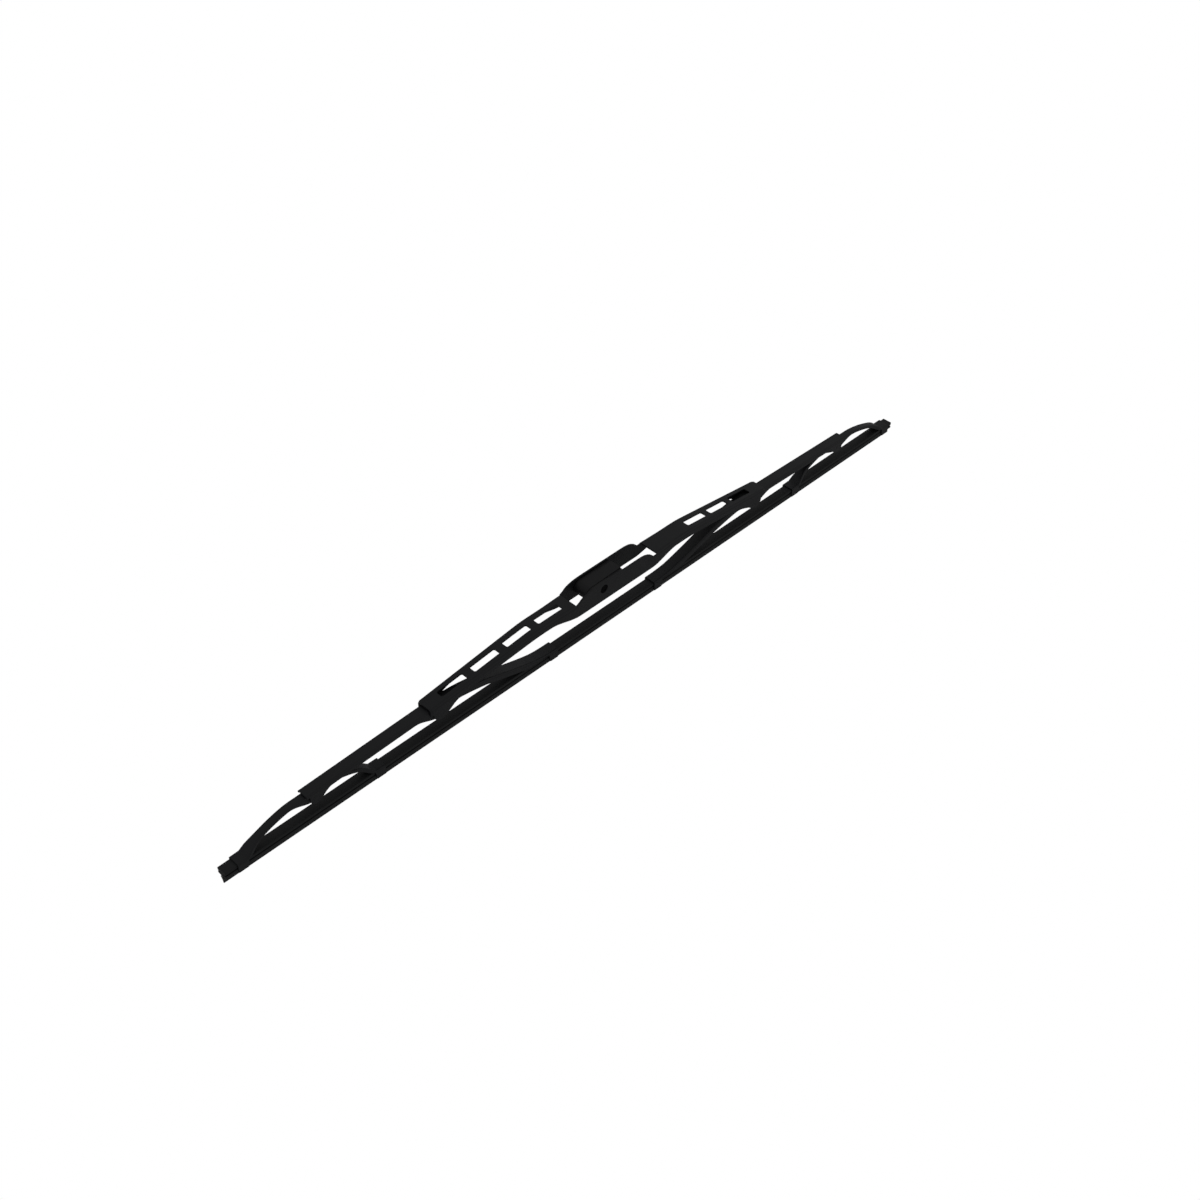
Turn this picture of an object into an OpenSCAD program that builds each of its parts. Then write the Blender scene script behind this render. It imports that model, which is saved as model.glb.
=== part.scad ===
// Bridge-type windscreen wiper blade for a hook arm, in millimetres, +Z up, +X along the blade.
// The origin is the middle of the cross pin that the arm's adapter turns on.
// Heights in the sections below are above the edge of the wiping lip, and places along the
// blade are distances from its middle, so that one picture of the side view explains both.

/* [Blade] */
// Length of the rubber
rubber_length = 550; // [546:2:640]
// Height of the arm pin above the edge of the wiping lip
arm_pin_height = 37.4; // [37:0.1:38.4]
// How far the blade's middle lies from the arm pin, along the blade
middle_offset = 6; // [-4:0.2:12]

/* [Rubber] */
// Height of the rubber, from the lip's edge to its back
rubber_height = 9.9; // [9.6:0.1:10.4]
// Width of the rubber's back
rubber_width = 6.6; // [6.2:0.1:7]
// Thickness of the back above the side grooves
back_thickness = 1.9; // [1.5:0.1:2.2]
// Thickness of the flange below the side grooves
flange_thickness = 1.5; // [1.2:0.1:1.8]
// Width of the neck that lets the lip tip over
neck_width = 1.1; // [0.8:0.1:1.5]
// Height of the neck
neck_height = 0.9; // [0.7:0.1:1.2]
// Width of the wedge's shoulder under the neck
shoulder_width = 3; // [2.4:0.1:3.4]
// Height of the shoulder's straight side
shoulder_height = 0.7; // [0.4:0.1:1]
// Width of the wiping lip
lip_width = 0.7; // [0.5:0.1:1]
// Height of the lip's parallel stretch
lip_height = 1.3; // [0.8:0.1:2]
// How much shorter the wedge and lip are than the back, at each end
lip_setback = 0.2; // [0:0.2:3]

/* [Backing strips] */
// Thickness of a backing strip
strip_thickness = 0.8; // [0.6:0.1:1]
// Width of a backing strip
strip_width = 1.9; // [1.4:0.1:2.1]
// How much shorter a backing strip is than the rubber, at each end
strip_inset = 5; // [3:0.5:10]
// Clearance of a strip in its groove
strip_clearance = 0.05; // [0.03:0.01:0.1]

/* [Claws] */
// Length of a claw along the blade
claw_length = 6; // [5:0.5:7.5]
// Clearance between a claw and the rubber
claw_clearance = 0.15; // [0.1:0.05:0.25]
// How far a claw's turned-in edge reaches under the rubber
claw_hook = 1.6; // [1.2:0.1:1.8]
// How far the walls between the claws stay above the rubber's back
claw_relief = 0.4; // [0.3:0.1:0.8]
// Distance of the left end's claw from the rubber's end, to the claw's middle
outer_claw_inset_left = 10.8; // [5:0.2:14]
// Distance of the right end's claw from the rubber's end, to the claw's middle
outer_claw_inset_right = 7.2; // [5:0.2:14]
// Distance of a yoke's inner claw from the rubber's end, to the claw's middle
inner_claw_inset = 102; // [96:0.5:106]
// Distance of a lever's inner claw from the blade's middle
lever_claw = 43.8; // [42:0.2:48]

/* [Bridge] */
// Thickness of the bridge's sheet
bridge_sheet = 1.1; // [0.9:0.1:1.3]
// Width of the bridge where its arms start to fall
bridge_width = 14.2; // [13.8:0.2:14.6]
// Width of the bridge at its ends
bridge_end_width = 12; // [11.8:0.2:12.8]
// Radius of the bends along the bridge's top
bridge_bend = 1.6; // [1.4:0.1:2.2]
// Height of the bridge's flat top above the arm pin
bridge_rise = 0.3; // [0.1:0.1:0.7]
// Height of the bridge's left end above the lever's pivot
left_end_rise = 5.6; // [5.4:0.1:6]
// Height of the bridge's right end above the lever's pivot
right_end_rise = 5.3; // [5.2:0.1:6]
// Where the left arm starts to fall
fall_start_left = 60; // [50:1:66]
// Where the right arm starts to fall
fall_start_right = 69; // [60:1:76]
// Height of the arms' side walls
bridge_wall = 4.2; // [3.8:0.1:4.8]
// How far the bridge reaches past the left lever's pivot
bridge_reach_left = 6.5; // [5.5:0.5:8]
// How far the bridge reaches past the right lever's pivot
bridge_reach_right = 8.6; // [7:0.2:11]
// Radius of the ear around a lever's pivot
bridge_ear = 4.6; // [4.2:0.1:4.8]
// Length over which the wall's lower edge runs down to the ear
ear_run = 18; // [16:1:24]

/* [Arm opening] */
// Left end of the opening for the arm's hook
opening_left = 28; // [24:0.2:32]
// Right end of the opening for the arm's hook
opening_right = 38.8; // [36:0.2:42]
// Width over the raised walls
cheek_width = 15; // [14.6:0.2:15.6]
// Height of the raised walls above the arm pin
cheek_height = 4.8; // [4.4:0.1:6]
// Depth of the raised walls below the arm pin
cheek_depth = 8.6; // [7.8:0.1:9.6]
// Length over which the walls rise at the left end
cheek_rise = 13.8; // [10:0.2:17]
// Length over which the walls fall at the right end
cheek_fall = 14; // [10:0.5:20]

/* [Windows] */
// Width of the windows in the bridge's top
window_width = 5; // [4.6:0.2:7]
// Corner radius of a window
window_corner = 1; // [0.6:0.1:2]
// Metal left between the opening and the nearest left window
window_margin_left = 6.9; // [6:0.1:9]
// Length of a left window
window_length_left = 18.8; // [14:0.2:19.6]
// Distance from one left window to the next
window_pitch_left = 24.3; // [23.5:0.1:24.7]
// Metal left between the opening and the nearest right window
window_margin_right = 32.4; // [28:0.2:33]
// Length of a right window
window_length_right = 16.5; // [13:0.1:17.3]
// Distance from one right window to the next
window_pitch_right = 20.4; // [19.8:0.1:21.2]

/* [Levers] */
// Distance of a lever's pivot from the rubber's end
lever_pivot_inset = 144; // [141:0.5:146]
// Height of a lever's pivot
lever_pivot_height = 24.3; // [23.9:0.1:24.7]
// Diameter of a lever's pin
lever_pin_diameter = 3.6; // [3:0.1:4]
// Thickness of a lever's sheet
lever_sheet = 0.8; // [0.7:0.1:1]
// Width of a lever
lever_width = 8.1; // [7.8:0.1:8.5]
// Radius of the bends along a lever's top
lever_bend = 1.1; // [0.8:0.1:1.4]
// Height of a lever's side walls between its claw and its pivot
lever_inner_wall = 3.6; // [3.2:0.1:4]
// Height of a lever's side walls between its two pivots
lever_outer_wall = 3; // [2.8:0.1:3.6]
// Height of a lever's top above its pivot
lever_rise = 3.8; // [3.4:0.1:4]
// Height of a lever's outer end above the yoke's pivot
lever_end_rise = 4.6; // [4.4:0.1:4.9]
// Depth of the lobe around a lever's pivot, below the pivot
lever_lobe = 4.6; // [4.2:0.1:4.8]
// Length over which a lever's wall runs down to its pivot's lobe
lever_lobe_run = 16.5; // [14:0.5:20]
// Radius of the ear around a yoke's pivot
lever_ear = 3.6; // [3.2:0.1:3.8]
// How far the left lever reaches past its yoke's pivot
lever_reach_left = 5.6; // [4:0.1:8]
// How far the right lever reaches past its yoke's pivot
lever_reach_right = 6.8; // [4:0.1:8]

/* [Yokes] */
// Distance of a yoke's pivot from the rubber's end
yoke_pivot_inset = 59.5; // [57.5:0.5:61]
// Height of a yoke's pivot
yoke_pivot_height = 20.6; // [20.3:0.1:20.9]
// Diameter of a yoke's pin
yoke_pin_diameter = 2.6; // [2.2:0.1:2.8]
// Thickness of a yoke's sheet
yoke_sheet = 0.7; // [0.6:0.1:0.8]
// Width of a yoke's arch
yoke_width = 5; // [4.6:0.1:5.2]
// Radius of the bends along a yoke's top
yoke_bend = 1; // [0.7:0.1:1.1]
// Height of the arch's side walls at its pivot
yoke_wall = 1.6; // [1.5:0.1:2.2]
// Height of the arch's side walls beside its claws
yoke_claw_wall = 2.1; // [1.6:0.1:2.6]
// Height of a yoke's top above its pivot
yoke_rise = 3.2; // [3:0.1:3.2]
// Depth of the lobe around a yoke's pivot, below the pivot
yoke_lobe = 3.1; // [2.8:0.1:3.3]
// Length over which a yoke's wall runs down to its pivot's lobe
yoke_lobe_run = 17; // [12:0.5:20]

/* [Pivots] */
// Diameter of the arm pin
arm_pin_diameter = 4.76; // [4.5:0.02:5]
// Clearance of a pin in a hole that it is fixed in, on the radius
fixed_clearance = 0.02; // [0.01:0.01:0.04]
// Clearance of a pin in a hole that turns on it, on the radius
running_clearance = 0.05; // [0.03:0.01:0.09]
// Wall of the nylon bushes around the levers' pins
lever_bush_wall = 0.7; // [0.5:0.05:0.8]
// Wall of the nylon bushes around the yokes' pins
yoke_bush_wall = 0.5; // [0.4:0.05:0.55]
// Width of the bushes' flanges beyond their sleeves
bush_rim = 0.9; // [0.6:0.1:1]
// Clearance between a bush's flange and the wall beside it
side_clearance = 0.2; // [0.15:0.01:0.25]
// Depth of the countersinks that the pins are peened into
peen_depth = 0.5; // [0.3:0.1:0.6]
// How far the arm pin's ends lie below the walls' outer faces
pin_recess = 0.4; // [0.2:0.1:0.5]

/* [Arm adapter] */
// Width of the adapter
adapter_width = 8; // [7:0.2:8.6]
// Wall of the adapter's two cheeks
adapter_wall = 2; // [1.6:0.1:2.4]
// How far the adapter reaches to the left of its pin
adapter_left = 11.8; // [10:0.2:14]
// How far the adapter reaches to the right of its pin
adapter_right = 17; // [14:0.2:18]
// Height of the adapter's top above its pin
adapter_rise = 3.6; // [3.4:0.1:4]
// Depth of the adapter below its pin
adapter_drop = 6.2; // [5:0.1:7]
// How much higher the adapter's right end is than its left
adapter_slope = 0.6; // [0:0.1:1]
// Width of the slot that snaps over the pin
snap_width = 4.2; // [3.8:0.1:4.3]
// Radius of the hubs beside the walls
hub_radius = 3.4; // [3:0.1:3.4]

/* [Hidden] */
$fn = 64;

LEFT = -1;
RIGHT = 1;
NEAR = -1;
FAR = 1;
STEEL = "#26272a";
PLASTIC = "#1d1d1f";
RUBBER = "#1a1a1b";
NYLON = "#2c2c2e";
SPRING_STEEL = "#303236";
BEND_STEPS = 3;
THROUGH = 40;

// Levels of the rubber's section, from its back down
groove_top = rubber_height - back_thickness;
groove_bottom = groove_top - strip_thickness - 2 * strip_clearance;
flange_bottom = groove_bottom - flange_thickness;
shoulder_top = flange_bottom - neck_height;
groove_depth = strip_width + 2 * strip_clearance;

// Places of the pivots and the claws along one half of the blade
rubber_end = rubber_length / 2;
lever_pivot = rubber_end - lever_pivot_inset;
yoke_pivot = rubber_end - yoke_pivot_inset;
function outer_claw(side) =
    rubber_end - (side == LEFT ? outer_claw_inset_left : outer_claw_inset_right);
inner_claw = rubber_end - inner_claw_inset;

// Heights of the bridge, the levers and the yokes
bridge_top = arm_pin_height + bridge_rise;
cheek_top = arm_pin_height + cheek_height;
cheek_bottom = arm_pin_height - cheek_depth;
lever_pivot_top = lever_pivot_height + lever_rise;
lever_end_top = yoke_pivot_height + lever_end_rise;
yoke_top = yoke_pivot_height + yoke_rise;

// A claw closes around the rubber's back and hooks under its flange
function claw_half_width(sheet) = rubber_width / 2 + claw_clearance + sheet;
function claw_top(sheet) = rubber_height + claw_clearance + sheet;
function claw_bottom(sheet) = flange_bottom - claw_clearance - sheet;
above_rubber = rubber_height + claw_relief;

// Half widths and heights of the bridge
bridge_half = bridge_width / 2;
cheek_half = cheek_width / 2;
bridge_end_half = bridge_end_width / 2;
bridge_left_end = lever_pivot + bridge_reach_left;
bridge_right_end = lever_pivot + bridge_reach_right;
function bridge_end(side) = side == LEFT ? bridge_left_end : bridge_right_end;
function bridge_end_top(side) =
    lever_pivot_height + (side == LEFT ? left_end_rise : right_end_rise);
function fall_start(side) = side == LEFT ? fall_start_left : fall_start_right;
function opening_end(side) = side == LEFT ? opening_left : opening_right;
// Share of the way from where an arm starts to fall to its end, at a distance from the middle
function fall_share(side, x) =
    max(0, min(1, (x - fall_start(side)) / (bridge_end(side) - fall_start(side))));
function bridge_half_at(side, x) =
    x < fall_start(side)
    ? bridge_half + (cheek_half - bridge_half)
        * max(0, 1 - (x - opening_end(side)) / cheek_blend)
    : bridge_half + (bridge_end_half - bridge_half) * fall_share(side, x);
// The bend where the arm starts to fall is drawn out over this length
fall_blend = 6;
// The walls draw in from the opening to the arms over this length
cheek_blend = 15;
function eased(u, soft) = u < -soft ? 0 : u > soft ? u : (u + soft) * (u + soft) / (4 * soft);
function bridge_top_at(side, x) =
    bridge_top - (bridge_top - bridge_end_top(side)) * eased(x - fall_start(side), fall_blend)
    / (bridge_end(side) - fall_start(side));

// Lower edge of a wall that drops as a round ear around a pin
function ear_edge(x, centre, height, radius, plain) =
    abs(x - centre) >= radius ? plain
    : min(plain, height - sqrt(radius * radius - (x - centre) * (x - centre)));

// Share by which a wall has run down to its lobe, at a distance from the pin
function lobe_share(distance, run) =
    abs(distance) >= run ? 0 : (1 + cos(180 * distance / run)) / 2;

// Smooth curve through a short list of points, each with the slope of its neighbours
function slope_at(list, i) =
    i == 0 ? (list[1][1] - list[0][1]) / (list[1][0] - list[0][0])
    : i == len(list) - 1 ? (list[i][1] - list[i - 1][1]) / (list[i][0] - list[i - 1][0])
    : (list[i + 1][1] - list[i - 1][1]) / (list[i + 1][0] - list[i - 1][0]);
function span_of(list, x, i = 0) =
    i >= len(list) - 2 || x < list[i + 1][0] ? i : span_of(list, x, i + 1);
function hermite(a, b, slope_a, slope_b, width, u) =
    a * (1 + 2 * u) * (1 - u) * (1 - u) + b * u * u * (3 - 2 * u)
    + width * (slope_a * u * (1 - u) * (1 - u) - slope_b * u * u * (1 - u));
function curve_part(list, x, i) =
    hermite(list[i][1], list[i + 1][1], slope_at(list, i), slope_at(list, i + 1),
            list[i + 1][0] - list[i][0],
            (x - list[i][0]) / (list[i + 1][0] - list[i][0]));
function curve(list, x) = curve_part(list, x, span_of(list, x));

// Inner corner of a bend: cut off at 45 degrees where the channel's widest bend is wide, else square
function inner_corner(sheet, bend, widest) = let (reach = max(0.8 * bend, sheet + 0.2))
    0.8 * widest < sheet + 0.2 ? [[sheet, sheet]] : [[sheet, reach], [reach, sheet]];

// Outline of a folded channel's section: half width, top and lower edge, sheet and bend radius,
// and the widest bend of the whole channel where that is another one
function channel_ring(x, half, top, edge, sheet, bend, widest = 0) = [
    [x, -half, edge],
    for (k = [0:BEND_STEPS])
        [x, -half + bend - bend * cos(90 * k / BEND_STEPS),
            top - bend + bend * sin(90 * k / BEND_STEPS)],
    for (k = [BEND_STEPS:-1:0])
        [x, half - bend + bend * cos(90 * k / BEND_STEPS),
            top - bend + bend * sin(90 * k / BEND_STEPS)],
    [x, half, edge],
    [x, half - sheet, edge],
    for (p = inner_corner(sheet, bend, max(bend, widest))) [x, half - p[0], top - p[1]],
    for (p = inner_corner(sheet, bend, max(bend, widest))) [x, p[1] - half, top - p[0]],
    [x, -half + sheet, edge],
];

// The end of a channel in three pieces: one wall, the top, the other wall
OUTER_POINTS = 2 * BEND_STEPS + 4;
function channel_end(n) = let (corner = (n - OUTER_POINTS) / 2) [
    concat([n - 2, n - 1], [for (k = [0:BEND_STEPS + 1]) k],
           corner == 3 ? [OUTER_POINTS + 3] : []),
    [OUTER_POINTS + corner, BEND_STEPS + 1, BEND_STEPS + 2, OUTER_POINTS + corner - 1],
    concat([OUTER_POINTS + 1], corner == 3 ? [OUTER_POINTS + 2] : [],
           [for (k = [BEND_STEPS + 2:OUTER_POINTS]) k]),
];

// Folded channel through a row of section outlines
module channel(rings) {
    n = len(rings[0]);
    last = len(rings) - 1;
    polyhedron(
        points = [for (ring = rings) each ring],
        faces = [
            for (piece = channel_end(n)) [for (k = [len(piece) - 1:-1:0]) piece[k]],
            for (i = [0:last - 1], k = [0:n - 1])
                [i * n + k, i * n + (k + 1) % n, (i + 1) * n + (k + 1) % n, (i + 1) * n + k],
            for (piece = channel_end(n)) [for (k = piece) last * n + k],
        ],
        convexity = 6);
}

// Moves a piece from the blade's middle and the lip's edge to the frame of the arm pin
module in_frame() {
    translate([middle_offset, 0, -arm_pin_height]) children();
}

// Mirrors a piece that is drawn for the right side, and moves it to the frame
module on_side(side) {
    in_frame() mirror([side == LEFT ? 1 : 0, 0, 0]) children();
}

// Cylinder along the blade's width, centred on the blade
module cross_cylinder(x, height, radius, length) {
    translate([x, 0, height]) rotate([90, 0, 0]) cylinder(r = radius, h = length, center = true);
}

// Hole for a fixed pin, with the countersinks that its ends are peened into
module pin_hole(x, height, diameter, half) {
    radius = diameter / 2 + fixed_clearance;
    wide = radius + peen_depth;
    translate([x, 0, height]) rotate([90, 0, 0]) rotate_extrude()
        polygon([[0, -half - 1], [wide, -half - 1], [wide, -half], [radius, peen_depth - half],
                 [radius, half - peen_depth], [wide, half], [wide, half + 1], [0, half + 1]]);
}

// Pin with its two ends peened outward; the ends lie at this half width
module peened_pin(x, height, diameter, half) {
    radius = diameter / 2;
    wide = radius + peen_depth;
    translate([x, 0, height]) rotate([90, 0, 0]) rotate_extrude()
        polygon([[0, -half], [wide, -half], [radius, peen_depth - half],
                 [radius, half - peen_depth], [wide, half], [0, half]]);
}

// Rectangle with round corners, by its low and high corners
module rounded_rectangle(low, high, radius) {
    translate([low[0] + radius, low[1]]) square([high[0] - low[0] - 2 * radius, high[1] - low[1]]);
    translate([low[0], low[1] + radius]) square([high[0] - low[0], high[1] - low[1] - 2 * radius]);
    for (x = [low[0] + radius, high[0] - radius], y = [low[1] + radius, high[1] - radius])
        translate([x, y]) circle(r = radius);
}

// Lower edge of one of the bridge's arms, down to the ear around the lever's pivot
function arm_edge(side, x) = let (
        top = bridge_top_at(side, lever_pivot - ear_run) - bridge_wall,
        bottom = lever_pivot_height - bridge_ear)
    x > lever_pivot
    ? ear_edge(x, lever_pivot, lever_pivot_height, bridge_ear, lever_pivot_height + 1)
    : curve([[lever_pivot - ear_run, top],
             [lever_pivot - 0.6 * ear_run, top - 0.3 * (top - bottom)],
             [lever_pivot - 0.42 * ear_run, top - 0.57 * (top - bottom)],
             [lever_pivot - 0.27 * ear_run, top - 0.79 * (top - bottom)],
             [lever_pivot - 0.12 * ear_run, top - 0.96 * (top - bottom)],
             [lever_pivot, bottom]], x);
// The wall's lower edge drops from the arms to the raised stretch in the middle
drop_left = [49, 25];
drop_right = [57, 34];
function eased_share(u) = (1 - cos(180 * max(0, min(1, u)))) / 2;
function drop_span(side) = side == LEFT ? drop_left : drop_right;
function bridge_edge_at(side, d) =
    d > lever_pivot - ear_run ? arm_edge(side, d)
    : bridge_top_at(side, d) - bridge_wall
        - (bridge_top - bridge_wall - cheek_bottom)
        * eased_share((drop_span(side)[0] - d) / (drop_span(side)[0] - drop_span(side)[1]));
// Top of the raised walls: a quarter ellipse at the left end, a rounded fall at the right end
function rise_at(u) = bridge_top + (cheek_top - bridge_top) * sqrt(max(0, 1 - (1 - u) * (1 - u)));
rise_steps = 7;
fall_steps = 7;
rise_start = 2.3;
fall_end = 2.5;
relief = 1.2;
function cheek_ring(x, top) =
    channel_ring(x, cheek_half, top, bridge_edge_at(sign(x), abs(x)), bridge_sheet, 0.3,
                 bridge_bend);
function plate_ring(side, d, inward = 0) =
    channel_ring(side * d, bridge_half_at(side, d) - inward, bridge_top_at(side, d),
                 bridge_edge_at(side, d), bridge_sheet, bridge_bend);
function arm_stations(side) = concat(
    [opening_end(side), opening_end(side) + 5, opening_end(side) + 10,
     opening_end(side) + cheek_blend,
     drop_span(side)[0] - 6, drop_span(side)[0] - 2],
    [for (k = [-3:3]) fall_start(side) + k * fall_blend / 3],
    [for (k = [1:2]) fall_start(side) + fall_blend
        + k * (lever_pivot - ear_run - fall_start(side) - fall_blend) / 3],
    [for (k = [0:10]) lever_pivot - ear_run * (1 - k / 11)],
    [for (k = [0:9]) lever_pivot + bridge_ear * sin(10 * k)],
    [lever_pivot + bridge_ear + 0.1, bridge_end(side) - corner_cut, bridge_end(side)]);
// The bridge's corners are cut off a little at its ends
corner_cut = 1.4;
function ascending(list) = [
    for (i = [0:len(list) - 1]) if (i == 0 || list[i] > list[i - 1] + 0.05) list[i]];
function arm_rings(side) = [
    for (d = ascending(arm_stations(side)))
        plate_ring(side, d, d == bridge_end(side) ? corner_cut / 2 : 0)];
function reversed(list) = [for (i = [len(list) - 1:-1:0]) list[i]];
function fall_at(v) = cheek_top - (cheek_top - bridge_top + relief) * pow(v, 3);
function cheek_rings() = let (start = rise_start - opening_left, end = opening_right - fall_end)
    concat(
        [cheek_ring(0.4 - opening_left, bridge_top - 0.1)],
        [for (k = [1:rise_steps])
            cheek_ring(start + cheek_rise * (1 - cos(90 * k / rise_steps)),
                       rise_at(1 - cos(90 * k / rise_steps)))],
        [cheek_ring(-0.1, cheek_top), cheek_ring(end - cheek_fall, cheek_top)],
        [for (k = [1:fall_steps])
            cheek_ring(end - cheek_fall * (1 - sin(90 * k / fall_steps)),
                       fall_at(sin(90 * k / fall_steps)))],
        [cheek_ring(opening_right - 0.15, bridge_top - relief)]);

// Windows punched in the top of one arm
module arm_windows(side, count, margin, length, pitch) {
    start = opening_end(side) + margin;
    for (i = [0:count - 1])
        translate([0, 0, lever_pivot_height])
            linear_extrude(THROUGH)
                rounded_rectangle([start + i * pitch, -window_width / 2],
                                  [start + i * pitch + length, window_width / 2],
                                  window_corner);
}

module bridge() {
    color(STEEL) in_frame() difference() {
        channel(concat(reversed(arm_rings(LEFT)), cheek_rings(), arm_rings(RIGHT)));
        translate([-opening_left, bridge_sheet - cheek_half, cheek_bottom])
            cube([opening_left + opening_right, cheek_width - 2 * bridge_sheet, THROUGH]);
        mirror([1, 0, 0])
            arm_windows(LEFT, 4, window_margin_left, window_length_left, window_pitch_left);
        arm_windows(RIGHT, 3, window_margin_right, window_length_right, window_pitch_right);
        pin_hole(-middle_offset, arm_pin_height, arm_pin_diameter, cheek_half - pin_recess);
        mirror([1, 0, 0])
            pin_hole(lever_pivot, lever_pivot_height, lever_pin_diameter,
                     bridge_half_at(LEFT, lever_pivot));
        pin_hole(lever_pivot, lever_pivot_height, lever_pin_diameter,
                 bridge_half_at(RIGHT, lever_pivot));
    }
}

// The rivet that carries the arm's adapter, peened a little below the walls' faces
module arm_pin() {
    color(STEEL) in_frame()
        peened_pin(-middle_offset, arm_pin_height, arm_pin_diameter, cheek_half - pin_recess);
}

// Side view of the adapter, with its round nose to the left
module adapter_outline() {
    nose = (adapter_rise + adapter_drop) / 2;
    middle = (adapter_rise - adapter_drop) / 2;
    translate([-adapter_left + nose, middle]) circle(r = nose);
    polygon([[-adapter_left + nose, middle - nose],
             [adapter_right - 2, middle - nose],
             [adapter_right, middle - nose + 2],
             [adapter_right, middle + nose + adapter_slope],
             [-adapter_left + nose, middle + nose]]);
}

// Moulded adapter that the arm's hook closes over; it snaps onto the pin from above
module arm_adapter() {
    gap = cheek_half - bridge_sheet - side_clearance;
    color(PLASTIC) difference() {
        union() {
            rotate([90, 0, 0])
                linear_extrude(adapter_width, center = true) adapter_outline();
            rotate([90, 0, 0]) cylinder(r = hub_radius, h = 2 * gap, center = true);
        }
        rotate([90, 0, 0])
            cylinder(r = arm_pin_diameter / 2 + running_clearance, h = THROUGH, center = true);
        translate([-snap_width / 2, -THROUGH / 2, -THROUGH]) cube([snap_width, THROUGH, THROUGH]);
        translate([-adapter_left + adapter_wall, -adapter_width / 2 + adapter_wall, -THROUGH])
            cube([adapter_left + adapter_right - 2 * adapter_wall,
                  adapter_width - 2 * adapter_wall, THROUGH - adapter_drop / 2]);
    }
}

// Lever, drawn for the right side: inner claw, sloping inner arm, pivot lobe, straight outer arm.
// The points of its curves are shares of the stretch from the claw to the pivot.
function lever_end(side) =
    yoke_pivot + (side == LEFT ? lever_reach_left : lever_reach_right);
lever_stub = lever_claw - claw_length / 2;
lever_shoulder = lever_claw + claw_length / 2;
lever_grip_half = claw_half_width(lever_sheet);
lever_grip_top = claw_top(lever_sheet);
function between(a, b, share) = a + (b - a) * share;
function lever_point(share, rise) =
    [between(lever_shoulder, lever_pivot, share), between(lever_grip_top, lever_pivot_top, rise)];
function lever_top_at(x) = curve([
    [lever_stub, lever_grip_top],
    lever_point(0, 0.003),
    lever_point(0.11, 0.062),
    lever_point(0.228, 0.205),
    lever_point(0.359, 0.392),
    lever_point(0.466, 0.56),
    lever_point(0.572, 0.724),
    lever_point(0.762, 0.92),
    lever_point(0.893, 0.989),
    lever_point(1, 1),
    [lever_end(LEFT), lever_end_top],
    [lever_end(LEFT) + claw_length, lever_end_top - 0.1]], x);
function lever_half_at(x) = curve([
    [lever_stub, lever_grip_half],
    [lever_shoulder + 1, lever_grip_half],
    [between(lever_shoulder, lever_pivot, 0.12), lever_width / 2],
    [between(lever_shoulder, lever_pivot, 0.25), lever_width / 2],
    [lever_end(LEFT), lever_width / 2]], x);
function lever_wall_at(x) =
    x <= lever_pivot ? lever_inner_wall
    : between(lever_inner_wall, lever_outer_wall, min(1, (x - lever_pivot) / lever_lobe_run));
// Beside the claw the wall ends above the rubber; further on it keeps its height
function lever_plain_edge(x) =
    x < lever_shoulder + 0.9
    ? between(claw_bottom(lever_sheet), above_rubber, max(0, (x - lever_shoulder) / 0.9))
    : max(above_rubber, lever_top_at(x) - lever_wall_at(x));
function lever_edge_at(x) =
    x > yoke_pivot
    ? ear_edge(x, yoke_pivot, yoke_pivot_height, lever_ear, lever_top_at(x) - 1.6)
    : min(between(lever_plain_edge(x), lever_pivot_height - lever_lobe,
                  lobe_share(x - lever_pivot, lever_lobe_run)),
          between(lever_plain_edge(x), yoke_pivot_height - lever_ear,
                  lobe_share(x - yoke_pivot, 3 * lever_ear)));
function lever_stations(side) = concat(
    [lever_stub, lever_shoulder, lever_shoulder + 0.9],
    [for (k = [1:14]) between(lever_shoulder + 0.9, lever_pivot - lever_lobe_run, k / 14)],
    [for (k = [-10:10]) lever_pivot + k * lever_lobe_run / 11],
    [for (k = [0:4]) between(lever_pivot + lever_lobe_run, yoke_pivot - 3 * lever_ear, k / 4)],
    [for (k = [-8:0]) yoke_pivot + k * 3 * lever_ear / 9],
    [for (k = [1:9]) yoke_pivot + lever_ear * sin(10 * k)],
    [yoke_pivot + lever_ear + 0.1, lever_end(side)]);
module lever(side) {
    color(STEEL) on_side(side) difference() {
        union() {
            channel([for (x = ascending(lever_stations(side)))
                channel_ring(x, lever_half_at(x), lever_top_at(x), lever_edge_at(x),
                             lever_sheet, lever_bend)]);
            claw_hooks(lever_claw, lever_sheet);
        }
        cross_cylinder(lever_pivot, lever_pivot_height,
                       bush_radius(lever_pin_diameter, lever_bush_wall) + fixed_clearance,
                       THROUGH);
        pin_hole(yoke_pivot, yoke_pivot_height, yoke_pin_diameter, lever_width / 2);
    }
}

// Turned-in edges of a claw, under the rubber's flange; they root inside the claw's walls
module claw_hooks(centre, sheet) {
    tip = claw_half_width(sheet) - sheet - claw_hook;
    for (face = [NEAR, FAR])
        translate([centre - claw_length / 2 + 0.1,
                   face == NEAR ? -tip - claw_hook - sheet / 2 : tip,
                   claw_bottom(sheet) + 0.05])
            cube([claw_length - 0.2, claw_hook + sheet / 2, sheet - 0.05]);
}

// Flanged nylon bush in the wall of the turning piece, clear of the wall beside it.
// Its sleeve lies from one width to the next, its flange from there up to the last width.
function bush_radius(pin, wall) = pin / 2 + running_clearance + wall;
module bush(x, height, pin, wall, widths, face) {
    sleeve = bush_radius(pin, wall);
    flange = sleeve + bush_rim;
    hole = sleeve - wall;
    translate([x, 0, height]) rotate([-90 * face, 0, 0]) rotate_extrude()
        polygon([[hole, widths[0]], [sleeve, widths[0]], [sleeve, widths[1]],
                 [flange, widths[1]], [flange, widths[2]], [hole, widths[2]]]);
}

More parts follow.
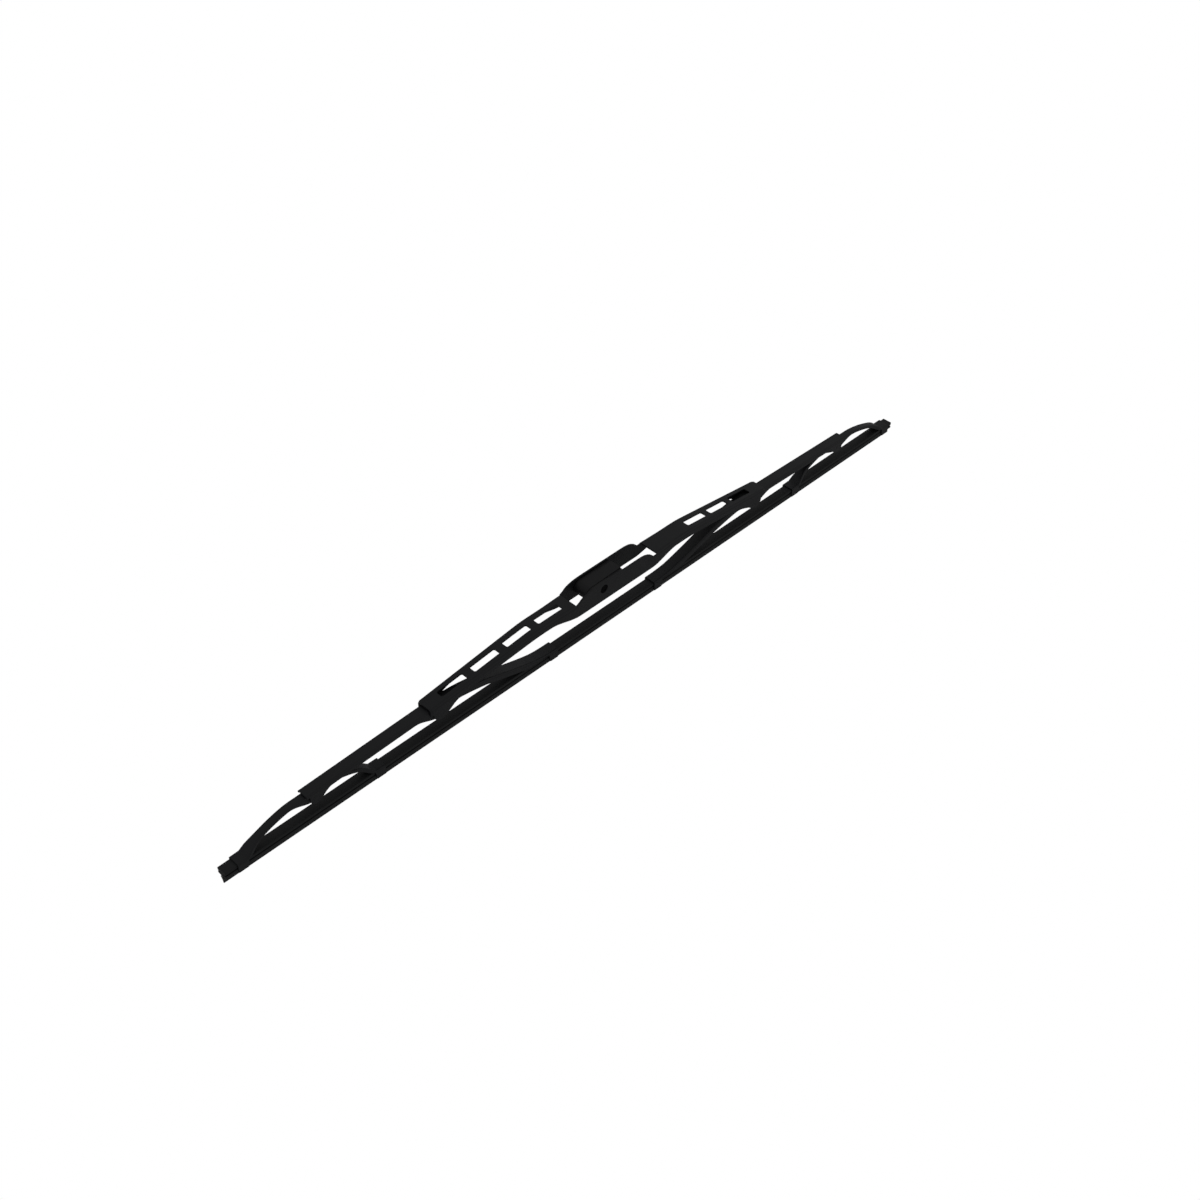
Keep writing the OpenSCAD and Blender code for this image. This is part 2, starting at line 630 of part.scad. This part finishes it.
module lever_pin(side) {
    color(STEEL) on_side(side)
        peened_pin(lever_pivot, lever_pivot_height, lever_pin_diameter,
                   bridge_half_at(side, lever_pivot));
}

module lever_bush(side, face) {
    space = bridge_half_at(side, lever_pivot + lever_pin_diameter) - bridge_sheet;
    color(NYLON) on_side(side)
        bush(lever_pivot, lever_pivot_height, lever_pin_diameter, lever_bush_wall,
             [lever_width / 2 - lever_sheet, lever_width / 2, space - side_clearance], face);
}

// Yoke, drawn for the right side and from its pivot: an arch with a claw at each end.
// The points of its curves are shares of the stretch from the pivot to a claw's near side.
yoke_grip_half = claw_half_width(yoke_sheet);
yoke_grip_top = claw_top(yoke_sheet);
function claw_place(side, d) = d < 0 ? yoke_pivot - inner_claw : outer_claw(side) - yoke_pivot;
function claw_start(side, d) = claw_place(side, d) - claw_length / 2;
function yoke_point(run, share, rise) = [run * share, between(yoke_grip_top, yoke_top, rise)];
function yoke_top_at(side, d) = let (run = claw_start(side, d)) curve([
    yoke_point(run, 0, 1),
    yoke_point(run, 0.18, 1.006),
    yoke_point(run, 0.37, 0.98),
    yoke_point(run, 0.56, 0.835),
    yoke_point(run, 0.7, 0.67),
    yoke_point(run, 0.83, 0.465),
    yoke_point(run, 0.93, 0.22),
    yoke_point(run, 0.98, 0.05),
    yoke_point(run, 1, 0.01),
    [run + claw_length, yoke_grip_top]], abs(d));
function yoke_half_at(side, d) = let (run = claw_start(side, d)) curve([
    [0, yoke_width / 2],
    [0.7 * run, yoke_width / 2],
    [0.83 * run, between(yoke_width / 2, yoke_grip_half, 0.2)],
    [0.97 * run, yoke_grip_half],
    [run, yoke_grip_half],
    [run + claw_length, yoke_grip_half]], abs(d));
// The web beside a claw ends above the rubber; further on the wall keeps its height
function yoke_edge_at(side, d) = let (
        run = claw_start(side, d),
        plain = yoke_top_at(side, d) - between(yoke_wall, yoke_claw_wall, abs(d) / run),
        web = 0.28 * run)
    abs(d) > run - 0.9
    ? between(claw_bottom(yoke_sheet), above_rubber, max(0, (run - abs(d)) / 0.9))
    : abs(d) > run - web
    ? between(above_rubber, plain, sin(90 * (run - abs(d)) / web))
    : between(plain, yoke_pivot_height - yoke_lobe, lobe_share(d, yoke_lobe_run));
function yoke_side_stations(side, way) = let (run = claw_start(side, way)) concat(
    [for (k = [0:11]) k * yoke_lobe_run / 11],
    [for (k = [1:11]) between(yoke_lobe_run, run - 0.9, k / 11)],
    [run, run + claw_length]);
function yoke_stations(side) = concat(
    [for (d = reversed(yoke_side_stations(side, -1))) if (d > 0) -d],
    yoke_side_stations(side, 1));
module yoke(side) {
    color(STEEL) on_side(side) translate([yoke_pivot, 0, 0]) difference() {
        union() {
            channel([for (x = yoke_stations(side))
                channel_ring(x, yoke_half_at(side, x), yoke_top_at(side, x),
                             yoke_edge_at(side, x), yoke_sheet, yoke_bend)]);
            claw_hooks(-claw_place(side, -1), yoke_sheet);
            claw_hooks(claw_place(side, 1), yoke_sheet);
        }
        cross_cylinder(0, yoke_pivot_height,
                       bush_radius(yoke_pin_diameter, yoke_bush_wall) + fixed_clearance,
                       THROUGH);
    }
}

module yoke_pin(side) {
    color(STEEL) on_side(side)
        peened_pin(yoke_pivot, yoke_pivot_height, yoke_pin_diameter, lever_width / 2);
}

module yoke_bush(side, face) {
    space = lever_width / 2 - lever_sheet;
    color(NYLON) on_side(side)
        bush(yoke_pivot, yoke_pivot_height, yoke_pin_diameter, yoke_bush_wall,
             [yoke_width / 2 - yoke_sheet, yoke_width / 2, space - side_clearance], face);
}

// Section of the rubber's back and flange, with the side grooves for the strips
module back_section() {
    translate([-rubber_width / 2, groove_top]) square([rubber_width, back_thickness]);
    translate([-rubber_width / 2 + groove_depth, flange_bottom])
        square([rubber_width - 2 * groove_depth, groove_top - flange_bottom + 0.1]);
    translate([-rubber_width / 2, flange_bottom]) square([rubber_width, flange_thickness]);
}

// Section of the neck, the wedge and the wiping lip
module wedge_section() {
    translate([-neck_width / 2, shoulder_top - 0.1])
        square([neck_width, neck_height + 0.2]);
    polygon([[-shoulder_width / 2, shoulder_top], [-shoulder_width / 2, shoulder_top - shoulder_height],
             [-lip_width / 2, lip_height], [-lip_width / 2, 0],
             [lip_width / 2, 0], [lip_width / 2, lip_height],
             [shoulder_width / 2, shoulder_top - shoulder_height], [shoulder_width / 2, shoulder_top]]);
}

// Extruded rubber; the wedge is cut back a little at both ends
module squeegee() {
    color(RUBBER) in_frame() {
        rotate([90, 0, 90]) linear_extrude(rubber_length, center = true) back_section();
        rotate([90, 0, 90])
            linear_extrude(rubber_length - 2 * lip_setback, center = true) wedge_section();
    }
}

// Flat steel strip in one side groove, which keeps the rubber straight between the claws
module backing_strip(face) {
    inner = rubber_width / 2 - groove_depth + strip_clearance;
    color(SPRING_STEEL) in_frame()
        translate([strip_inset - rubber_end, face == FAR ? inner : -inner - strip_width,
                   groove_bottom + strip_clearance])
            cube([rubber_length - 2 * strip_inset, strip_width, strip_thickness]);
}

bridge();
arm_pin();
arm_adapter();
lever(LEFT);  // lever_left
lever(RIGHT);  // lever_right
lever_pin(LEFT);  // lever_pin_left
lever_pin(RIGHT);  // lever_pin_right
lever_bush(LEFT, NEAR);  // lever_bush_left_near
lever_bush(LEFT, FAR);  // lever_bush_left_far
lever_bush(RIGHT, NEAR);  // lever_bush_right_near
lever_bush(RIGHT, FAR);  // lever_bush_right_far
yoke(LEFT);  // yoke_left
yoke(RIGHT);  // yoke_right
yoke_pin(LEFT);  // yoke_pin_left
yoke_pin(RIGHT);  // yoke_pin_right
yoke_bush(LEFT, NEAR);  // yoke_bush_left_near
yoke_bush(LEFT, FAR);  // yoke_bush_left_far
yoke_bush(RIGHT, NEAR);  // yoke_bush_right_near
yoke_bush(RIGHT, FAR);  // yoke_bush_right_far
squeegee();
backing_strip(NEAR);  // backing_strip_near
backing_strip(FAR);  // backing_strip_far
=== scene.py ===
# Windscreen wiper blade for a hook arm, level and with its wiping lip down.
# The frame's origin is the middle of the arm pin; +X runs along the blade and +Z away from the glass.
import math

import bpy
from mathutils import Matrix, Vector


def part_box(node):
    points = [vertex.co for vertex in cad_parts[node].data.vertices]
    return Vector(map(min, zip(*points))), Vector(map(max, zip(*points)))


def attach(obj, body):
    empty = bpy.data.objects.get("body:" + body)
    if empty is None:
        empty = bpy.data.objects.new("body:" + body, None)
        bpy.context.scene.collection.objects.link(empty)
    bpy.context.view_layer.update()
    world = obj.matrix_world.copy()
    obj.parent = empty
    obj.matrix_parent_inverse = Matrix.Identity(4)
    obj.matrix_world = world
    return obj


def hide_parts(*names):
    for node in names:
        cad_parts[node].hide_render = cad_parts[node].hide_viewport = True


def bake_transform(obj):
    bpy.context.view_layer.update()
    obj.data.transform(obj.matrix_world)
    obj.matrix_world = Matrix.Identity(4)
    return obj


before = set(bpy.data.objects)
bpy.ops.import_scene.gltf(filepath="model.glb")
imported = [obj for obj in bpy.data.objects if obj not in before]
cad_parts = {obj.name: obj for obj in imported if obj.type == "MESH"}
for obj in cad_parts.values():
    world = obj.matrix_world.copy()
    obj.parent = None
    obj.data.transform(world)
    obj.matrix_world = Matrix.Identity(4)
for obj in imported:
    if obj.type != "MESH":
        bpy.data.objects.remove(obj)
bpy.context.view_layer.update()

# Primary bridge: one folded steel channel with punched windows and two raised walls in its
# middle. It is pressed from 1.1 mm sheet, zinc phosphated and powder coated satin black.
MM = 0.001


def linear(code):
    """Linear red, green, blue and alpha of an sRGB hex colour."""
    parts = [int(code[i:i + 2], 16) / 255 for i in (1, 3, 5)]
    return [p / 12.92 if p <= 0.04045 else ((p + 0.055) / 1.055) ** 2.4 for p in parts] + [1.0]


def add_node(tree, kind, settings=None, links=None):
    """A new node with its settings, its sockets' constants and its incoming links."""
    node = tree.nodes.new(kind)
    for name, value in (settings or {}).items():
        if hasattr(node, name):
            setattr(node, name, value)
        else:
            node.inputs[name].default_value = value
    for name, source in (links or {}).items():
        tree.links.new(source, node.inputs[name])
    return node


def start_material(name):
    """A new material with its node tree, its shader, and the place of each point in the frame."""
    material = bpy.data.materials.new(name)
    material.use_nodes = True
    tree = material.node_tree
    shader = tree.nodes["Principled BSDF"]
    place = add_node(tree, "ShaderNodeTexCoord").outputs["Object"]
    return material, tree, shader, place


def dress(material, *names):
    """Gives CAD nodes a material."""
    for name in names:
        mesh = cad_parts[name].data
        mesh.materials.clear()
        mesh.materials.append(material)


CLOUD = 14 * MM
PEEL = 0.7 * MM
PEEL_DEPTH = 0.03 * MM
COAT_EDGE = 0.25 * MM
# Dust that settles on the coat is finer than this, and is drawn coarse enough to show
DUST = 0.25 * MM
# The coat gives soft, slightly cloudy reflections, a fine orange peel, and rounded edges that
# catch the light
steel, tree, shader, place = start_material("powder_coated_steel")
clouds = add_node(tree, "ShaderNodeTexNoise", {"Scale": 1 / CLOUD, "Detail": 4.0}, {"Vector": place})
peel = add_node(tree, "ShaderNodeTexNoise", {"Scale": 1 / PEEL, "Detail": 2.0}, {"Vector": place})
dust = add_node(tree, "ShaderNodeTexNoise", {"Scale": 1 / DUST, "Detail": 1.0}, {"Vector": place})
# Only the noise's highest spots are specks
specks = add_node(tree, "ShaderNodeMapRange", {"From Min": 0.62, "From Max": 0.8},
                  {"Value": dust.outputs["Fac"]})
paint = add_node(tree, "ShaderNodeMixRGB", {"Color1": linear("#1c1d1f"), "Color2": linear("#26272a")},
                 {"Fac": clouds.outputs["Fac"]})
dusty = add_node(tree, "ShaderNodeMixRGB", {"Color2": linear("#3a3b3d")},
                 {"Fac": specks.outputs["Result"], "Color1": paint.outputs["Color"]})
gloss = add_node(tree, "ShaderNodeMapRange",
                 {"From Min": 0.3, "From Max": 0.7, "To Min": 0.36, "To Max": 0.5},
                 {"Value": clouds.outputs["Fac"]})
edges = add_node(tree, "ShaderNodeBevel", {"Radius": COAT_EDGE})
bumps = add_node(tree, "ShaderNodeBump", {"Strength": 0.35, "Distance": PEEL_DEPTH},
                 {"Height": peel.outputs["Fac"], "Normal": edges.outputs["Normal"]})
tree.links.new(dusty.outputs["Color"], shader.inputs["Base Color"])
tree.links.new(gloss.outputs["Result"], shader.inputs["Roughness"])
tree.links.new(bumps.outputs["Normal"], shader.inputs["Normal"])
dress(steel, "bridge")

# Levers: two channels folded from 0.8 mm sheet, which turn in the bridge's ends. Their inner
# ends are claws that hold the rubber, and they are coated in the same batch.
dress(steel, "lever_left", "lever_right")

# Yokes: two arched channels pressed from 0.7 mm sheet, with a claw at each end that closes round
# the rubber. They turn in the outer ends of the levers and have the same coat.
dress(steel, "yoke_left", "yoke_right")

# Pivot pins: four steel pins through the turning pieces' bushes, peened flush with the walls
# and coated together with them, so that their ends hardly show.
dress(steel, "lever_pin_left", "lever_pin_right", "yoke_pin_left", "yoke_pin_right")

# Arm pin: a cold-headed steel rivet across the bridge's raised walls, peened a little below their
# faces. Its ends are painted near black: painted shade of the recess they sit in.
HAMMER_MARK = 0.8 * MM
MARK_DEPTH = 0.06 * MM
# The hammered ends are dull, and painted darker than the coat round them as painted shade of their recess
rivet, tree, shader, place = start_material("shade_darkened_rivet_steel")
marks = add_node(tree, "ShaderNodeTexVoronoi", {"Scale": 1 / HAMMER_MARK}, {"Vector": place})
tone = add_node(tree, "ShaderNodeMixRGB", {"Color1": linear("#050506"), "Color2": linear("#0c0c0e")},
                {"Fac": marks.outputs["Distance"]})
bumps = add_node(tree, "ShaderNodeBump", {"Strength": 0.4, "Distance": MARK_DEPTH},
                 {"Height": marks.outputs["Distance"]})
shader.inputs["Roughness"].default_value = 0.8
shader.inputs["Specular IOR Level"].default_value = 0.15
tree.links.new(tone.outputs["Color"], shader.inputs["Base Color"])
tree.links.new(bumps.outputs["Normal"], shader.inputs["Normal"])
dress(rivet, "arm_pin")

# Bushes: eight flanged sleeves of black nylon, injection moulded and pressed into the walls of
# the levers and yokes, where they keep steel from rubbing on steel.
MOTTLE = 0.4 * MM
MOTTLE_DEPTH = 0.02 * MM
# Moulded nylon looks matt and a little mottled, like wax
nylon, tree, shader, place = start_material("moulded_black_nylon")
grain = add_node(tree, "ShaderNodeTexNoise", {"Scale": 1 / MOTTLE, "Detail": 3.0}, {"Vector": place})
tone = add_node(tree, "ShaderNodeMixRGB", {"Color1": linear("#1e1e20"), "Color2": linear("#2b2b2d")},
                {"Fac": grain.outputs["Fac"]})
bumps = add_node(tree, "ShaderNodeBump", {"Strength": 0.2, "Distance": MOTTLE_DEPTH},
                 {"Height": grain.outputs["Fac"]})
shader.inputs["Roughness"].default_value = 0.55
tree.links.new(tone.outputs["Color"], shader.inputs["Base Color"])
tree.links.new(bumps.outputs["Normal"], shader.inputs["Normal"])
dress(nylon, *[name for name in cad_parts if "_bush_" in name])

# Arm adapter: one piece of black acetal, injection moulded, which snaps onto the arm pin from
# above and turns on it. The arm's hook closes round it.
GRAIN = 0.35 * MM
GRAIN_DEPTH = 0.03 * MM
FLOW_MARK = 5 * MM
# The mould's spark-eroded grain breaks reflections up, so that its faces look dull and even
plastic, tree, shader, place = start_material("grained_black_plastic")
grain = add_node(tree, "ShaderNodeTexVoronoi", {"Scale": 1 / GRAIN}, {"Vector": place})
clouds = add_node(tree, "ShaderNodeTexNoise", {"Scale": 1 / FLOW_MARK}, {"Vector": place})
tone = add_node(tree, "ShaderNodeMixRGB", {"Color1": linear("#17171a"), "Color2": linear("#222224")},
                {"Fac": clouds.outputs["Fac"]})
bumps = add_node(tree, "ShaderNodeBump", {"Strength": 0.3, "Distance": GRAIN_DEPTH},
                 {"Height": grain.outputs["Distance"]})
shader.inputs["Roughness"].default_value = 0.5
tree.links.new(tone.outputs["Color"], shader.inputs["Base Color"])
tree.links.new(bumps.outputs["Normal"], shader.inputs["Normal"])
dress(plastic, "arm_adapter")

# Adapter's cheeks: the adapter's thick sides, moulded in one with it in the same black plastic.
# They keep it in the middle between the bridge's raised walls, and the arm pin goes through them.
CHEEK = 2.2 * MM
# How far a cheek stands back from the body's outline, and from its top at the nose and tail
INSET = 0.2 * MM
NOSE_DROP = 0.6 * MM
TAIL_DROP = 0.3 * MM
TAIL_CHAMFER = 2 * MM
HOLE_RADIUS = 2.7 * MM
EDGE_ROUND = 0.12 * MM
# Steps in half a turn of the nose and the hole
HALF_TURN = 16
low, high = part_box("arm_adapter")
# In the side view a round nose at the left, a chamfered tail at the right, and the pin's hole
nose = (high.z - NOSE_DROP - low.z) / 2 - INSET
nose_x = low.x + nose + INSET
nose_z = low.z + nose + INSET
angles = [math.pi * k / HALF_TURN for k in range(2 * HALF_TURN)]
outline = [(nose_x - nose * math.sin(a), nose_z + nose * math.cos(a)) for a in angles[:HALF_TURN + 1]]
outline += [(high.x - INSET - TAIL_CHAMFER, low.z + INSET), (high.x - INSET, low.z + INSET + TAIL_CHAMFER),
            (high.x - INSET, high.z - TAIL_DROP)]
hole = [(HOLE_RADIUS * math.cos(a), HOLE_RADIUS * math.sin(a)) for a in angles]
for name, sign in (("adapter_cheek_near", -1), ("adapter_cheek_far", 1)):
    curve = bpy.data.curves.new(name, "CURVE")
    curve.dimensions = "2D"
    curve.fill_mode = "BOTH"
    curve.extrude = CHEEK / 2 - EDGE_ROUND
    curve.bevel_depth = EDGE_ROUND
    curve.offset = -EDGE_ROUND
    for points in (outline, hole):
        spline = curve.splines.new("POLY")
        spline.points.add(len(points) - 1)
        for point, (x, z) in zip(spline.points, points):
            point.co = (x, z, 0, 1)
        spline.use_cyclic_u = True
    drawn = bpy.data.objects.new(name + "_outline", curve)
    mesh = bpy.data.meshes.new_from_object(drawn)
    bpy.data.objects.remove(drawn)
    for vertex in mesh.vertices:
        x, z, y = vertex.co
        vertex.co = (x, sign * (high.y - CHEEK / 2) + y, z)
    mesh.materials.clear()
    mesh.materials.append(plastic)
    cheek = bpy.data.objects.new(name, mesh)
    bpy.context.scene.collection.objects.link(cheek)
    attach(cheek, "adapter")

# Squeegee: one length of extruded black rubber. Its back slides through the claws, its neck
# lets the wedge tip over, and its lip wipes. Its end lengths move with the yokes that hold them.
DIE_LINE = 0.35 * MM
DIE_LINE_LENGTH = 60 * MM
DIE_LINE_DEPTH = 0.03 * MM
BLOOM = 9 * MM
# The die leaves long, faint lines, and the rubber's bloom makes its black soft and uneven
rubber, tree, shader, place = start_material("extruded_black_rubber")
along = add_node(tree, "ShaderNodeMapping", {"Scale": (1 / DIE_LINE_LENGTH, 1 / DIE_LINE, 1 / DIE_LINE)},
                 {"Vector": place})
lines = add_node(tree, "ShaderNodeTexNoise", {"Scale": 1.0, "Detail": 2.0},
                 {"Vector": along.outputs["Vector"]})
bloom = add_node(tree, "ShaderNodeTexNoise", {"Scale": 1 / BLOOM, "Detail": 5.0}, {"Vector": place})
tone = add_node(tree, "ShaderNodeMixRGB", {"Color1": linear("#202122"), "Color2": linear("#2d2e2f")},
                {"Fac": bloom.outputs["Fac"]})
bumps = add_node(tree, "ShaderNodeBump", {"Strength": 0.35, "Distance": DIE_LINE_DEPTH},
                 {"Height": lines.outputs["Fac"]})
shader.inputs["Roughness"].default_value = 0.6
tree.links.new(tone.outputs["Color"], shader.inputs["Base Color"])
tree.links.new(bumps.outputs["Normal"], shader.inputs["Normal"])

low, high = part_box("squeegee")
MIDDLE = (low.x + high.x) / 2
LIP_EDGE = low.z
HALF = (high.x - low.x) / 2
# The rubber's right half in section, from the middle of its back down to the lip, in mm
# across the blade and above the lip's edge
SECTION = [(0, 9.9), (2.9, 9.9), (3.18, 9.8), (3.3, 9.55), (3.3, 8.15), (3.15, 8), (1.3, 8),
           (1.3, 7.1), (3.2, 7.1), (3.3, 7), (3.3, 5.75), (3.15, 5.6), (0.75, 5.6), (0.55, 5.4),
           (0.55, 4.9), (0.75, 4.7), (1.4, 4.7), (1.5, 4.6), (1.5, 4), (1.15, 3.2), (0.78, 2.4),
           (0.5, 1.75), (0.35, 1.3), (0.35, 0.05), (0.3, 0)]
ring = SECTION + [(-y, z) for y, z in reversed(SECTION[1:])]
# The rubber is divided this often along the blade
STATION = 4 * MM
# Distances of the claws' inner ends from the blade's middle
LEVER_CLAW = 43.8 * MM
YOKE_CLAW = 173 * MM
# Corners sharper than this stay sharp in the shading
CREASE = math.radians(35)


def sweep(name, outline, start, end, material, caps):
    """A straight bar of this outline (mm) along the blade between two places (m)."""
    count = max(1, round((end - start) / STATION))
    verts = [(start + (end - start) * i / count, y * MM, LIP_EDGE + z * MM)
             for i in range(count + 1) for y, z in outline]
    n = len(outline)
    faces = [(i * n + k, i * n + (k + 1) % n, (i + 1) * n + (k + 1) % n, (i + 1) * n + k)
             for i in range(count) for k in range(n)]
    faces += [tuple(range(n))] if "start" in caps else []
    faces += [tuple(count * n + k for k in reversed(range(n)))] if "end" in caps else []
    mesh = bpy.data.meshes.new(name)
    mesh.from_pydata(verts, [], faces)
    mesh.flip_normals()
    mesh.shade_smooth()
    mesh.set_sharp_from_angle(angle=CREASE)
    mesh.materials.append(material)
    bar = bpy.data.objects.new(name, mesh)
    bpy.context.scene.collection.objects.link(bar)
    return bar


def bend_with_claws(name, outline, half, material, node):
    """A long bar in six lengths. The outer ones follow a yoke, and the others stay where they are."""
    for side, sign in (("left", -1), ("right", 1)):
        yoke, lever = f"yoke_{side}", f"lever_{side}"
        for part, outer, inner in (("end", half, YOKE_CLAW), ("span", YOKE_CLAW, LEVER_CLAW),
                                   ("middle", LEVER_CLAW, 0)):
            from_x = MIDDLE + sign * outer
            to_x = MIDDLE + sign * inner
            caps = ()
            if part == "end":
                caps = ("start",) if side == "left" else ("end",)
            bar = sweep(f"{name}_{side}_{part}", outline, min(from_x, to_x), max(from_x, to_x),
                        material, caps)
            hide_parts(node)
            if part == "end":
                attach(bar, yoke)
            elif part == "span":
                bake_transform(bar)
            else:
                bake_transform(bar)


bend_with_claws("rubber", ring, HALF, rubber, "squeegee")

# Backing strips: two flat spring-steel strips in the rubber's side grooves, which keep it
# straight between the claws. They are rolled, slit and hardened, and painted almost black as painted shade
# of the grooves.
# Real rolling lines are finer than this, and are drawn coarser to show
ROLLING_LINE = 0.08 * MM
ROLLING_LINE_LENGTH = 30 * MM
# The strip keeps a metal's dark sheen, drawn out along the rolling lines; its near-black colour is painted
# shade of the grooves
spring, tree, shader, place = start_material("groove_shaded_spring_steel")
along = add_node(tree, "ShaderNodeMapping",
                 {"Scale": (1 / ROLLING_LINE_LENGTH, 1 / ROLLING_LINE, 1 / ROLLING_LINE)},
                 {"Vector": place})
lines = add_node(tree, "ShaderNodeTexNoise", {"Scale": 1.0, "Detail": 3.0},
                 {"Vector": along.outputs["Vector"]})
tone = add_node(tree, "ShaderNodeMixRGB", {"Color1": linear("#0b0c0e"), "Color2": linear("#17181b")},
                {"Fac": lines.outputs["Fac"]})
shader.inputs["Metallic"].default_value = 1.0
shader.inputs["Roughness"].default_value = 0.42
tree.links.new(tone.outputs["Color"], shader.inputs["Base Color"])
for node in ("backing_strip_near", "backing_strip_far"):
    low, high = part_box(node)
    bottom = (low.z - LIP_EDGE) / MM
    top = (high.z - LIP_EDGE) / MM
    corners = [(low.y / MM, bottom), (low.y / MM, top), (high.y / MM, top), (high.y / MM, bottom)]
    bend_with_claws(node, corners, (high.x - low.x) / 2, spring, node)

# Studio: a plain pale floor below the lip, which the camera sees as white, soft even light from
# all round as in a light tent, a large panel at the front right and a long one behind.
FLOOR_HALF = 3.0
# The floor lies low enough for the blade's ends to bend down past the lip, as over curved glass
FLOOR_LEVEL = LIP_EDGE - 25 * MM
# The board throws a soft pale light up at the blade, although the camera sees it as white
floor_material, tree, shader = start_material("pale_painted_board")[:3]
shader.inputs["Base Color"].default_value = linear("#e8e8e8")
shader.inputs["Roughness"].default_value = 0.9
path = add_node(tree, "ShaderNodeLightPath")
white = add_node(tree, "ShaderNodeEmission", {"Color": (1, 1, 1, 1), "Strength": 1.0})
shown = add_node(tree, "ShaderNodeMixShader")
tree.links.new(path.outputs["Is Camera Ray"], shown.inputs[0])
tree.links.new(shader.outputs["BSDF"], shown.inputs[1])
tree.links.new(white.outputs["Emission"], shown.inputs[2])
tree.links.new(shown.outputs["Shader"], tree.nodes["Material Output"].inputs["Surface"])
mesh = bpy.data.meshes.new("floor")
mesh.from_pydata([(-FLOOR_HALF, -FLOOR_HALF, FLOOR_LEVEL), (FLOOR_HALF, -FLOOR_HALF, FLOOR_LEVEL),
                  (FLOOR_HALF, FLOOR_HALF, FLOOR_LEVEL), (-FLOOR_HALF, FLOOR_HALF, FLOOR_LEVEL)],
                 [], [(0, 1, 2, 3)])
mesh.materials.append(floor_material)
floor = bpy.data.objects.new("floor", mesh)
bpy.context.scene.collection.objects.link(floor)

# The light from all round is this strong for the blade, and white for the camera
TENT_LIGHT = 0.205
world = bpy.data.worlds.new("studio")
bpy.context.scene.world = world
world.use_nodes = True
tree = world.node_tree
back = tree.nodes["Background"]
back.inputs["Color"].default_value = (1, 1, 1, 1)
path = add_node(tree, "ShaderNodeLightPath")
strength = add_node(tree, "ShaderNodeMapRange", {"To Min": TENT_LIGHT, "To Max": 1.0},
                    {"Value": path.outputs["Is Camera Ray"]})
tree.links.new(strength.outputs["Result"], back.inputs["Strength"])


def panel(name, place, aim, width, depth, watts):
    """A soft rectangular light at a place, aimed at a point."""
    data = bpy.data.lights.new(name, "AREA")
    data.shape = "RECTANGLE"
    data.size = width
    data.size_y = depth
    data.energy = watts
    light = bpy.data.objects.new(name, data)
    light.location = place
    light.rotation_euler = (Vector(aim) - Vector(place)).to_track_quat("-Z", "Y").to_euler()
    bpy.context.scene.collection.objects.link(light)


panel("key_panel", place=(0.9, -0.9, 0.7), aim=(0, 0, 0), width=1.2, depth=1.2, watts=0.55)
panel("rim_panel", place=(0.9, 0.7, 0.5), aim=(0, 0, 0), width=1.6, depth=0.3, watts=0.08)

# Camera: above and in front of the blade's left end, at arm's length, looking down and to the
# right. It makes a square picture with the whole blade from corner to corner.
LENS = 50.06
SENSOR = 36
TURN = math.radians(45)
TILT = math.radians(42)
DISTANCE = 0.986
AIM = Vector((4.36 * MM, 0.4 * MM, -16.46 * MM))
camera_data = bpy.data.cameras.new("camera")
camera_data.lens = LENS
camera_data.sensor_width = SENSOR
camera = bpy.data.objects.new("camera", camera_data)
look = Vector((math.sin(TURN) * math.cos(TILT), math.cos(TURN) * math.cos(TILT), -math.sin(TILT)))
camera.location = AIM - DISTANCE * look
camera.rotation_euler = look.to_track_quat("-Z", "Y").to_euler()
bpy.context.scene.collection.objects.link(camera)
bpy.context.scene.camera = camera
bpy.context.scene.view_settings.view_transform = "Standard"
